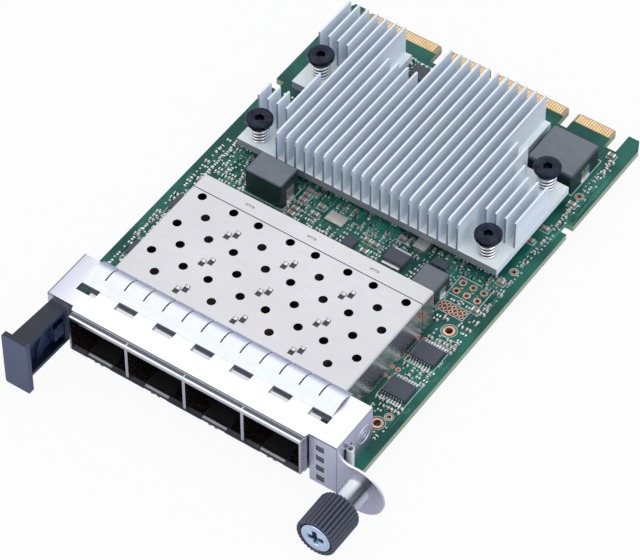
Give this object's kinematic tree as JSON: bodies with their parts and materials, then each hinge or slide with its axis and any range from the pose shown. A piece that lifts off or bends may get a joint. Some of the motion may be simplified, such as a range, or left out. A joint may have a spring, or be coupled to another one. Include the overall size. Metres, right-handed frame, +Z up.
{
  "type": "mezzanine network card",
  "caption": "Server mezzanine network card: board with split edge contacts, finned heatsink on spring screws, ganged pluggable-port cage, bracket with pull tab and captive thumbscrew.",
  "frame": {"origin": "on the centre line of the board's bare underside, 11.5 mm in from the contact edge", "axes": "+Z up from the component side, +Y towards the edge contacts, +X towards the thumbscrew; the ports face -Y"},
  "size_m": [0.0846, 0.1271, 0.0168],
  "materials": {
    "board": "semi-gloss green solder mask",
    "gold": "bright gold plating",
    "film": "matt insulating film",
    "sink": "satin extruded aluminium",
    "black_screw": "black oxide",
    "spring": "spring steel",
    "chip": "matt moulded",
    "pad": "soft grey",
    "cage": "bright rolled sheet",
    "bracket": "satin sheet",
    "fingers": "bright spring sheet",
    "socket": "matt moulded",
    "black_plastic": "fine matt moulded",
    "knob": "matt moulded",
    "nickel": "bright nickel",
    "blue_zinc": "blue zinc",
    "ferrite": "matt pressed powder",
    "tin": "tinned",
    "can": "satin can",
    "ceramic": "fired ceramic",
    "resistor": "glazed",
    "lens": "clear moulded"
  },
  "bodies": {
    "card": {"circuit_board": "board", "edge_contacts": "gold", "insulator_film": "film", "heatsink": "sink", "controller_chip": "chip", "thermal_pad": "pad", "heatsink_screws": "black_screw", "heatsink_springs": "spring", "cage_shell": "cage", "cage_rear_cover": "cage", "cage_floor": "cage", "cage_dividers": "cage", "port_frame": "cage", "port_latches": "cage", "port_connectors": "socket", "bracket": "bracket", "side_clips": "fingers", "finger_strip": "fingers", "light_guide": "lens", "thumbscrew_collar": "nickel", "thumbscrew_spring": "spring", "pull_tab": "black_plastic", "pull_tab_screw": "nickel", "inductor_rear": "ferrite", "inductor_front": "ferrite", "inductor_left": "ferrite", "crystal_oscillator": "can", "small_controller": "chip", "rectifier_diode": "chip", "rectifier_ends": "tin", "polymer_capacitor": "can", "regulator_chip": "chip", "buffer_chips": "chip", "chip_leads": "tin", "ceramic_capacitors": "ceramic", "chip_resistors": "resistor"},
    "screw_seat": {"thumbscrew_washer": "nickel"},
    "thumbscrew": {"thumbscrew_screw": "blue_zinc", "thumbscrew_knob": "knob"}
  },
  "joints": [
    {"name": "thumbscrew_travel", "type": "slide", "parent": "card", "child": "screw_seat", "axis": [0, 1, 0], "range_m": [0, 0.004], "stiffness_N_per_m": 300, "springref_m": -0.003, "deforming": ["thumbscrew_spring"]},
    {"name": "thumbscrew_turn", "type": "hinge", "parent": "screw_seat", "child": "thumbscrew", "pos_m": [0.0402, -0.11, 0.00267], "axis": [0, 1, 0], "continuous": true}
  ]
}
